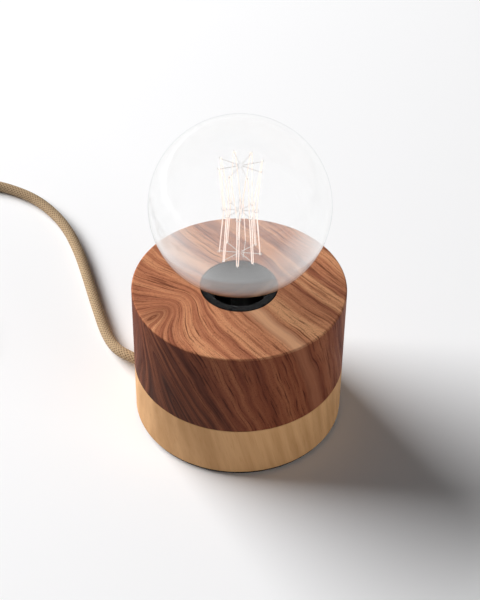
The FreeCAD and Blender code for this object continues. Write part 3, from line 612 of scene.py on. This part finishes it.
ground = add_node(tree, "ShaderNodeValToRGB", Fac=bands)
set_stops(ground, (0.34, "915640"), (0.5, "b87857"), (0.66, "d79a71"))
line_share = add_node(
    tree, "ShaderNodeMapRange",
    Value=streaks, From_Min=0.53, From_Max=0.66, To_Min=0.0, To_Max=0.95,
)
lined = add_node(
    tree, "ShaderNodeMix", colours, _0=line_share, _6=ground, _7=paint("6b3d2c")
)
pale_share = add_node(
    tree, "ShaderNodeMapRange",
    Value=streaks, From_Min=0.3, From_Max=0.44, To_Min=0.4, To_Max=0.0,
)
paled = add_node(
    tree, "ShaderNodeMix", colours, _0=pale_share, _6=lined.outputs[2], _7=paint("d69d76")
)
pore_share = add_node(
    tree, "ShaderNodeMapRange",
    Value=pores, From_Min=0.58, From_Max=0.7, To_Min=0.0, To_Max=0.6,
)
pored = add_node(
    tree, "ShaderNodeMix", colours, _0=pore_share, _6=paled.outputs[2], _7=paint("5a3324")
)
past_sapwood = add_node(tree, "ShaderNodeMath", minus, _0=grain, _1=sapwood_depth)
off_sapwood = add_node(tree, "ShaderNodeMath", {"operation": "ABSOLUTE"}, _0=past_sapwood)
sap_share = add_node(
    tree, "ShaderNodeMapRange",
    Value=off_sapwood, From_Min=1.5, From_Max=6.0, To_Min=0.8, To_Max=0.0,
)
sapped = add_node(
    tree, "ShaderNodeMix", colours, _0=sap_share, _6=pored.outputs[2], _7=paint("dda680")
)
eye_share = add_node(
    tree, "ShaderNodeMapRange",
    Value=bulge, From_Min=19.0, From_Max=33.0, To_Min=0.0, To_Max=0.6,
)
knotted = add_node(
    tree, "ShaderNodeMix", colours, _0=eye_share, _6=sapped.outputs[2], _7=paint("6e3f2e")
)
print("sapwood streak in mm through the rings:", sapwood_depth)

# %% [markdown]
# The wall of this block is coloured darker than its top: partly a darker coat of oil, and
# partly painted shade, as the wall lies in shade. Low at the left the block reaches into the
# heartwood, which stains the wall almost black in patches. The pores are sunk a little, and the
# wood is matt.

# %% Walnut's wall and surface
heart_start = -22.0
heart_full = -44.0

facing = add_node(tree, "ShaderNodeNewGeometry")
upright = add_node(tree, "ShaderNodeSeparateXYZ", _0=facing.outputs["Normal"])
wall_share = add_node(
    tree, "ShaderNodeMapRange",
    Value=upright.outputs[2], From_Min=0.15, From_Max=0.9, To_Min=1.0, To_Max=0.0,
)
# The darker wall is a darker coat of oil and painted shade together.
wall_oil_and_shade = add_node(
    tree, "ShaderNodeMix", {"data_type": "RGBA", "blend_type": "MULTIPLY"},
    _0=wall_share, _6=knotted.outputs[2], _7=paint("a08983"),
)
wide_sway = add_node(tree, "ShaderNodeMath", times, _0=sway, _1=2.0)
heart = add_node(tree, "ShaderNodeMath", plus, _0=depth, _1=wide_sway)
heart_share = add_node(
    tree, "ShaderNodeMapRange",
    Value=heart, From_Min=heart_start, From_Max=heart_full, To_Min=0.0, To_Max=0.8,
)
patch_share = add_node(
    tree, "ShaderNodeMapRange",
    Value=bands, From_Min=0.42, From_Max=0.6, To_Min=1.0, To_Max=0.35,
)
heart_patches = add_node(tree, "ShaderNodeMath", times, _0=heart_share, _1=patch_share)
stain_share = add_node(tree, "ShaderNodeMath", times, _0=wall_share, _1=heart_patches)
stained = add_node(
    tree, "ShaderNodeMix", colours, _0=stain_share, _6=wall_oil_and_shade.outputs[2], _7=paint("2e1a14")
)
sunk = add_node(tree, "ShaderNodeMath", times, _0=pore_share, _1=-1.0)
relief = add_node(tree, "ShaderNodeBump", Strength=0.25, Distance=mm(0.25), Height=sunk)
sheen = add_node(
    tree, "ShaderNodeMapRange",
    Value=streaks, From_Min=0.3, From_Max=0.7, To_Min=0.55, To_Max=0.7,
)
wood = add_node(
    tree, "ShaderNodeBsdfPrincipled",
    Base_Color=stained.outputs[2], Roughness=sheen, Normal=relief, Specular_IOR_Level=0.1,
)
close_material(tree, wood)
dress(walnut, "walnut_block")

# %% [markdown]
# ## Maple
#
# The lower disc is pale hard maple with a matt oil. Its fibres stand almost upright on
# the wall, and its rings are so faint that they only tint it, so the same kind of grain
# space is enough, with a gentler ramp.

# %% Maple
maple, tree = empty_material("oiled_hard_maple")
position = in_millimetres(tree)
maple_fibre = Vector((0.22, 0.05, -0.97)).normalized()
maple_ring = square_to(Vector((0.8, 0.6, 0.0)), maple_fibre)
maple_ways = (maple_ring, maple_fibre, maple_ring.cross(maple_fibre))
places = [along_direction(tree, position, way) for way in maple_ways]
rings = stretched_noise(tree, places, (0.22, 0.01, 0.12), detail=3.0)
hairs = stretched_noise(tree, places, (1.5, 0.05, 1.5), detail=3.0)
tint = add_node(tree, "ShaderNodeValToRGB", Fac=rings)
set_stops(tint, (0.32, "b3885c"), (0.68, "c99d70"))
hair_share = add_node(
    tree, "ShaderNodeMapRange",
    Value=hairs, From_Min=0.55, From_Max=0.75, To_Min=0.0, To_Max=0.35,
)
haired = add_node(tree, "ShaderNodeMix", colours, _0=hair_share, _6=tint, _7=paint("a27346"))
relief = add_node(tree, "ShaderNodeBump", Strength=0.12, Distance=mm(0.2), Height=hairs)
wood = add_node(
    tree, "ShaderNodeBsdfPrincipled",
    Base_Color=haired.outputs[2], Roughness=0.55, Normal=relief, Specular_IOR_Level=0.1,
)
close_material(tree, wood)
dress(maple, "maple_base")

# %% [markdown]
# ## Clear glass
#
# The globe is soda-lime glass, under a millimetre thick, so it hardly bends the light:
# what the eye sees is the white studio in its surfaces, faint in the middle and strong
# where the wall is seen edge-on. A refracting shader would need deep light paths and
# make noise, so the wall is a mix of a plain see-through and a mirror, shared out by
# Fresnel. It lets shadow rays through, so the filament and the wood behind stay bright.
#
# A ray that has passed one wall sees the far one. The near wall gets its own share of shine and
# a thin white glow, a painted reflection which stands for all that a bright room leaves on a
# globe. Only the camera sees this painted glow, and it fades out towards the neck and at the
# outline.

# %% See-through and mirror
glass_ior = 1.52
neck_level = 93.5
globe_level = 106.0


def clear_wall(tree, edge, height, walls_passed, near_shine, far_shine):
    """A see-through wall with a mirror in it, weaker at the neck."""
    side = add_node(tree, "ShaderNodeNewGeometry")
    bending = add_node(
        tree, "ShaderNodeMapRange", Value=side.outputs["Backfacing"],
        From_Min=0.0, From_Max=1.0, To_Min=glass_ior, To_Max=1 / glass_ior,
    )
    rim = add_node(tree, "ShaderNodeFresnel", IOR=bending)
    # At the outline both the see-through and the mirror turn grey: painted shade for the edge
    # of the globe.
    outline_shade_share = add_node(
        tree, "ShaderNodeMapRange",
        Value=edge, From_Min=0.86, From_Max=1.0, To_Min=0.0, To_Max=1.0,
    )
    tint = add_node(
        tree, "ShaderNodeMix", colours, _0=outline_shade_share, _6=paint("ffffff"), _7=paint("c4c9cc")
    )
    through = add_node(tree, "ShaderNodeBsdfTransparent", Color=tint.outputs[2])
    mirror = add_node(tree, "ShaderNodeBsdfGlossy", Color=tint.outputs[2], Roughness=0.02)
    on_globe = add_node(
        tree, "ShaderNodeMapRange", Value=height,
        From_Min=neck_level, From_Max=globe_level, To_Min=0.08, To_Max=1.0,
    )
    strength = add_node(
        tree, "ShaderNodeMapRange", Value=walls_passed,
        From_Min=1.0, From_Max=2.0, To_Min=near_shine, To_Max=far_shine,
    )
    most = add_node(tree, "ShaderNodeMath", times, _0=strength, _1=on_globe)
    shine = add_node(
        tree, "ShaderNodeMath", {"operation": "MULTIPLY", "use_clamp": True}, _0=rim, _1=most
    )
    return add_node(tree, "ShaderNodeMixShader", _0=shine, _1=through, _2=mirror)


print("glass mirrors face-on:", round(((glass_ior - 1) / (glass_ior + 1)) ** 2, 3))

# %% Painted reflection on the near wall
painted_glow_start = 111.0
painted_glow_full = 148.0


def painted_glow_share(tree, edge, height, walls_passed, painted_glow):
    """How much painted white reflection glows on a point of the glass."""
    near = add_node(
        tree, "ShaderNodeMapRange",
        Value=walls_passed, From_Min=1.0, From_Max=2.0, To_Min=painted_glow, To_Max=0.0,
    )
    thick = add_node(
        tree, "ShaderNodeMapRange",
        Value=edge, From_Min=0.2, From_Max=0.8, To_Min=1.0, To_Max=6.4,
    )
    raised = add_node(
        tree, "ShaderNodeMapRange",
        Value=height, From_Min=painted_glow_start, From_Max=painted_glow_full, To_Min=0.0, To_Max=1.0,
    )
    ending = add_node(
        tree, "ShaderNodeMapRange",
        Value=edge, From_Min=0.9, From_Max=1.0, To_Min=1.0, To_Max=0.0,
    )
    where = add_node(tree, "ShaderNodeMath", times, _0=raised, _1=ending)
    strength = add_node(tree, "ShaderNodeMath", times, _0=near, _1=thick)
    return add_node(tree, "ShaderNodeMath", times, _0=where, _1=strength)


print("haze rises over", painted_glow_full - painted_glow_start, "mm")

# %% Two kinds of glass


def blown(name, near_shine, far_shine, painted_glow):
    """Thin clear glass: see-through, a mirror by Fresnel, and a painted white reflection that
    glows on the near wall.
    """
    material, tree = empty_material(name)
    edge = add_node(tree, "ShaderNodeLayerWeight", Blend=0.5).outputs["Facing"]
    height = along_direction(tree, in_millimetres(tree), (0, 0, 1))
    path = add_node(tree, "ShaderNodeLightPath")
    walls_passed = path.outputs["Transparent Depth"]
    pane = clear_wall(tree, edge, height, walls_passed, near_shine, far_shine)
    painted_glow_amount = painted_glow_share(tree, edge, height, walls_passed, painted_glow)
    # The glow is an emission: a painted reflection of the bright room.
    bright = add_node(tree, "ShaderNodeEmission", Color=paint("fafafa"), Strength=1.0)
    with_painted_glow = add_node(tree, "ShaderNodeMixShader", _0=painted_glow_amount, _1=pane, _2=bright)
    camera_only = add_node(
        tree, "ShaderNodeMixShader", _0=path.outputs["Is Camera Ray"], _1=pane, _2=with_painted_glow
    )
    shade = add_node(tree, "ShaderNodeBsdfTransparent", Color=paint("f4f6f6"))
    walled = add_node(
        tree, "ShaderNodeMixShader", _0=path.outputs["Is Shadow Ray"], _1=camera_only, _2=shade
    )
    close_material(tree, walled)
    return material


globe_glass = blown("blown_soda_lime_glass", near_shine=0.8, far_shine=0.3, painted_glow=0.1)
stem_glass = blown("drawn_lead_glass", near_shine=1.0, far_shine=1.0, painted_glow=0.0)
dress(globe_glass, "bulb_glass")
dress(stem_glass, "glass_stem", "support_rod")

# %% [markdown]
# ## The filament and its wires
#
# The filament is a tungsten wire run just warm enough to glow white with a hint of
# pink. It is thinner than a millimetre, so it needs no texture but its own light, a
# little uneven along its length as a coiled wire is. The wires that carry it are drawn
# nickel iron, and are made with the other metals below.

# %% Filament
glow_rate = 260.0

filament, tree = empty_material("glowing_tungsten")
spot = add_node(tree, "ShaderNodeTexCoord")
uneven = add_node(
    tree, "ShaderNodeTexNoise", Vector=spot.outputs["Object"], Scale=glow_rate, Detail=1.0
)
warmth = add_node(tree, "ShaderNodeValToRGB", Fac=uneven)
set_stops(warmth, (0.35, "ffdccb"), (0.65, "fff1e8"))
glow = add_node(
    tree, "ShaderNodeBsdfPrincipled",
    Base_Color=paint("c9bdb4"), Metallic=1.0, Roughness=0.4,
    Emission_Color=warmth, Emission_Strength=0.8,
)
close_material(tree, glow)
dress(filament, "filament")

# %% [markdown]
# ## Metals
#
# The lamp's metals differ in their colour and in how even their polish is, so one
# function makes them all. The grit is the size of the polish marks in millimetres, and
# low and high are the roughness in and between them. The contacts are rolled brass.
# The bulb's cap and the sleeve that it screws into are given an almost black metal as painted
# shade, because the mouth of the lampholder lies dark in shade.

# %% Metals


def worked_metal(name, code, low, high, grit, detail=3.0):
    """A metal with a fine uneven polish."""
    material, tree = empty_material(name)
    spot = add_node(tree, "ShaderNodeTexCoord")
    marks = add_node(
        tree, "ShaderNodeTexNoise",
        Vector=spot.outputs["Object"], Scale=1000.0 / grit, Detail=detail,
    )
    polish = add_node(
        tree, "ShaderNodeMapRange",
        Value=marks, From_Min=0.3, From_Max=0.7, To_Min=low, To_Max=high,
    )
    metal = add_node(
        tree, "ShaderNodeBsdfPrincipled", Base_Color=paint(code), Metallic=1.0, Roughness=polish
    )
    close_material(tree, metal)
    return material


wire = worked_metal("drawn_nickel_iron_wire", "d6d2ce", 0.25, 0.45, 10 / 9, detail=2.0)
brass = worked_metal("rolled_brass", "d8b25c", 0.22, 0.38, 1.2)
zinc = worked_metal("zinc_plated_steel", "c6c9cc", 0.25, 0.42, 0.9)
nickel = worked_metal("nickel_plated_brass", "d5d0c6", 0.12, 0.24, 1.5)
# The cap and the sleeve: an almost black metal, painted shade for the lampholder's dark mouth.
shade_dark_cap_metal = worked_metal("shade_darkened_cap_shell", "35332f", 0.06, 0.14, 1.5)
solder = worked_metal("tinned_solder", "b9babd", 0.35, 0.55, 1.0)
dress(wire, "top_supports", "middle_supports", "lower_supports", "lead_wire_1", "lead_wire_2")
dress(brass, "contact_tongue", "terminal_1", "terminal_2")
dress(zinc, "threaded_nipple", "nipple_washer", "nipple_nut", "grip_screw_1", "grip_screw_2")
dress(zinc, "terminal_screw_1", "terminal_screw_2", "switch_screw_1", "switch_screw_2")
dress(nickel, "plug_pin_1", "plug_pin_2")
dress(shade_dark_cap_metal, "thread_sleeve", "cap_shell")
dress(solder, "cap_contact")

# %% [markdown]
# ## Moulded parts
#
# The holder is moulded black phenolic plastic with a high gloss, and its core is glazed
# white ceramic. The switch is ABS, the plug soft PVC, the cord grip nylon and the pad
# foam rubber: all nearly the same black, and told apart by their gloss and the grain of
# their skin, whose spacing and depth are in millimetres. The same function makes the
# brown insulation of the core wires and the black glass of the bulb's cap.

# %% Moulded parts
gloss_swing = 0.15
gloss_patches = 60.0


def moulded(name, code, roughness, grit, depth, gloss=0.5):
    """A moulded part: one colour, slightly uneven in gloss, with a fine skin."""
    material, tree = empty_material(name)
    spot = add_node(tree, "ShaderNodeTexCoord").outputs["Object"]
    skin = add_node(tree, "ShaderNodeTexNoise", Vector=spot, Scale=1000.0 / grit, Detail=2.0)
    cloud = add_node(tree, "ShaderNodeTexNoise", Vector=spot, Scale=gloss_patches, Detail=2.0)
    uneven = add_node(
        tree, "ShaderNodeMapRange", Value=cloud, From_Min=0.3, From_Max=0.7,
        To_Min=roughness * (1 - gloss_swing), To_Max=roughness * (1 + gloss_swing),
    )
    relief = add_node(tree, "ShaderNodeBump", Strength=0.3, Distance=mm(depth), Height=skin)
    plastic = add_node(
        tree, "ShaderNodeBsdfPrincipled",
        Base_Color=paint(code), Roughness=uneven, Normal=relief, Specular_IOR_Level=gloss,
    )
    close_material(tree, plastic)
    return material


phenolic = moulded("moulded_black_phenolic", "040405", 0.12, 2.5, 0.002, gloss=0.15)
switch_plastic = moulded("moulded_black_abs", "141415", 0.34, 0.7, 0.05)
plug_rubber = moulded("moulded_black_pvc", "181819", 0.5, 0.6, 0.06)
pad_rubber = moulded("black_foam_rubber", "0f0f10", 0.85, 0.8, 0.15)
clamp_plastic = moulded("moulded_black_nylon", "1b1b1c", 0.45, 0.8, 0.04)
ceramic = moulded("glazed_white_ceramic", "e6e2d8", 0.25, 2.0, 0.02)
insulation = moulded("brown_wire_insulation", "6a3a20", 0.4, 1.5, 0.02)
vitrite = moulded("black_cap_glass", "101014", 0.1, 3.0, 0.01)
dress(phenolic, "holder_cap", "holder_skirt")
dress(switch_plastic, "switch_lower", "switch_upper", "switch_rocker")
dress(plug_rubber, "plug_body")
dress(pad_rubber, "base_pad")
dress(clamp_plastic, "cord_grip_upper", "cord_grip_lower")
dress(ceramic, "holder_core")
dress(insulation, "core_wire_1", "core_wire_2")
dress(vitrite, "cap_insulator")

# %% [markdown]
# ## Dowels
#
# Two beech dowels hold the two woods together. Beech has no clear rings but short dark
# flecks along the dowel, so one noise that is stretched upwards is enough.

# %% Beech dowels
fleck_rates = (1200.0, 1200.0, 90.0)

beech, tree = empty_material("turned_beech")
spot = add_node(tree, "ShaderNodeTexCoord")
lengthwise = add_node(
    tree, "ShaderNodeMapping", Vector=spot.outputs["Object"], Scale=fleck_rates
)
flecks = add_node(tree, "ShaderNodeTexNoise", Vector=lengthwise, Scale=1.0, Detail=2.0)
tone = add_node(tree, "ShaderNodeValToRGB", Fac=flecks)
set_stops(tone, (0.0, "c08d5e"), (1.0, "dcb184"))
wood = add_node(tree, "ShaderNodeBsdfPrincipled", Base_Color=tone, Roughness=0.65)
close_material(tree, wood)
dress(beech, "dowel_1", "dowel_2")

# %% [markdown]
# ## Fabric cord
#
# The lead has a woven cotton sleeve. Its threads run round in two spirals that cross, so its
# pattern is two sets of slanting waves: where one set is on top it stands proud, and the other
# dips and is coloured darker as painted shade. The waves read the tube's own UV map, so they
# follow every bend.
# Real threads are half a millimetre wide, too fine for the picture, so they are drawn a
# little coarser.

# %% Woven cotton sleeve
sleeve_threads = 10
sleeve_rise = 2.4


def woven(name, warm, pale, dark, starts, rise):
    """Crossing spirals: starts threads each way round, each rising once in rise mm."""
    material, tree = empty_material(name)
    chart = add_node(tree, "ShaderNodeUVMap", {"uv_map": "along_and_around"})
    split = add_node(tree, "ShaderNodeSeparateXYZ", _0=chart)
    along = add_node(tree, "ShaderNodeMath", times, _0=split.outputs[0], _1=2 * math.pi / rise)
    around = add_node(
        tree, "ShaderNodeMath", times, _0=split.outputs[1], _1=2 * math.pi * starts
    )
    left_phase = add_node(tree, "ShaderNodeMath", plus, _0=along, _1=around)
    right_phase = add_node(tree, "ShaderNodeMath", minus, _0=along, _1=around)
    left = add_node(tree, "ShaderNodeMath", {"operation": "SINE"}, _0=left_phase)
    right = add_node(tree, "ShaderNodeMath", {"operation": "SINE"}, _0=right_phase)
    over = add_node(tree, "ShaderNodeMath", {"operation": "MAXIMUM"}, _0=left, _1=right)
    high = add_node(
        tree, "ShaderNodeMapRange",
        Value=over, From_Min=-0.6, From_Max=1.0, To_Min=0.0, To_Max=1.0,
    )
    fuzz = add_node(tree, "ShaderNodeTexNoise", Vector=chart, Scale=3.0, Detail=3.0)
    # Where a thread dips it is coloured darker: painted shade between the threads.
    shade = add_node(tree, "ShaderNodeMix", colours, _0=high, _6=paint(dark), _7=paint(warm))
    worn = add_node(
        tree, "ShaderNodeMapRange",
        Value=fuzz, From_Min=0.45, From_Max=0.75, To_Min=0.0, To_Max=0.6,
    )
    fluffed = add_node(
        tree, "ShaderNodeMix", colours, _0=worn, _6=shade.outputs[2], _7=paint(pale)
    )
    relief = add_node(tree, "ShaderNodeBump", Strength=0.6, Distance=mm(0.3), Height=high)
    cloth = add_node(
        tree, "ShaderNodeBsdfPrincipled",
        Base_Color=fluffed.outputs[2], Roughness=0.8, Normal=relief, Specular_IOR_Level=0.2,
    )
    close_material(tree, cloth)
    return material


cotton = woven(
    "woven_beige_cotton", "b49a7c", "c9b292", "5c4930", starts=sleeve_threads, rise=sleeve_rise
)
for cord in (cord_lead, cord_stored):
    cord.data.materials.append(cotton)
print("sleeve threads each way:", sleeve_threads)

# %% [markdown]
# The short end of the cord inside the base and the strap round the coil are CAD
# pieces without a UV map, so their weave is worked out from the place in space.

# %% Inner cord end and strap


def space_weave(name, warm, dark, pitch):
    """A plain weave in space with a thread every pitch mm."""
    material, tree = empty_material(name)
    spot = add_node(tree, "ShaderNodeTexCoord")
    wide = add_node(
        tree, "ShaderNodeVectorMath", scaled,
        _0=spot.outputs["Object"], Scale=2000 * math.pi / pitch,
    )
    across, deep, up = add_node(tree, "ShaderNodeSeparateXYZ", _0=wide).outputs
    first_phase = add_node(tree, "ShaderNodeMath", plus, _0=across, _1=up)
    second_phase = add_node(tree, "ShaderNodeMath", minus, _0=deep, _1=up)
    lengthwise = add_node(tree, "ShaderNodeMath", {"operation": "SINE"}, _0=first_phase)
    crosswise = add_node(tree, "ShaderNodeMath", {"operation": "SINE"}, _0=second_phase)
    bumps = add_node(tree, "ShaderNodeMath", times, _0=lengthwise, _1=crosswise)
    high = add_node(
        tree, "ShaderNodeMapRange",
        Value=bumps, From_Min=-1.0, From_Max=1.0, To_Min=0.0, To_Max=1.0,
    )
    # Where the weave is low it is coloured darker: painted shade between the threads.
    shade = add_node(tree, "ShaderNodeMix", colours, _0=high, _6=paint(dark), _7=paint(warm))
    relief = add_node(tree, "ShaderNodeBump", Strength=0.5, Distance=mm(0.2), Height=high)
    cloth = add_node(
        tree, "ShaderNodeBsdfPrincipled",
        Base_Color=shade.outputs[2], Roughness=0.85, Normal=relief,
    )
    close_material(tree, cloth)
    return material


dress(space_weave("woven_cotton_end", "b49a7c", "5c4930", 1.4), "cord_inner")
dress(space_weave("woven_black_nylon_strap", "2a2a2c", "0b0b0c", 1.2), "cord_strap")

# %% [markdown]
# ## Sizes
#
# The dressed lamp has to stay as large as the CAD model says, so both boxes are
# written side by side.

scene_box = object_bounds()
boxes = {
    "cad": [list(corner) for corner in cad_box],
    "scene": [list(corner) for corner in scene_box],
}
for label, box in boxes.items():
    print(label, [round((high - low) * 1000, 1) for low, high in zip(*box)])
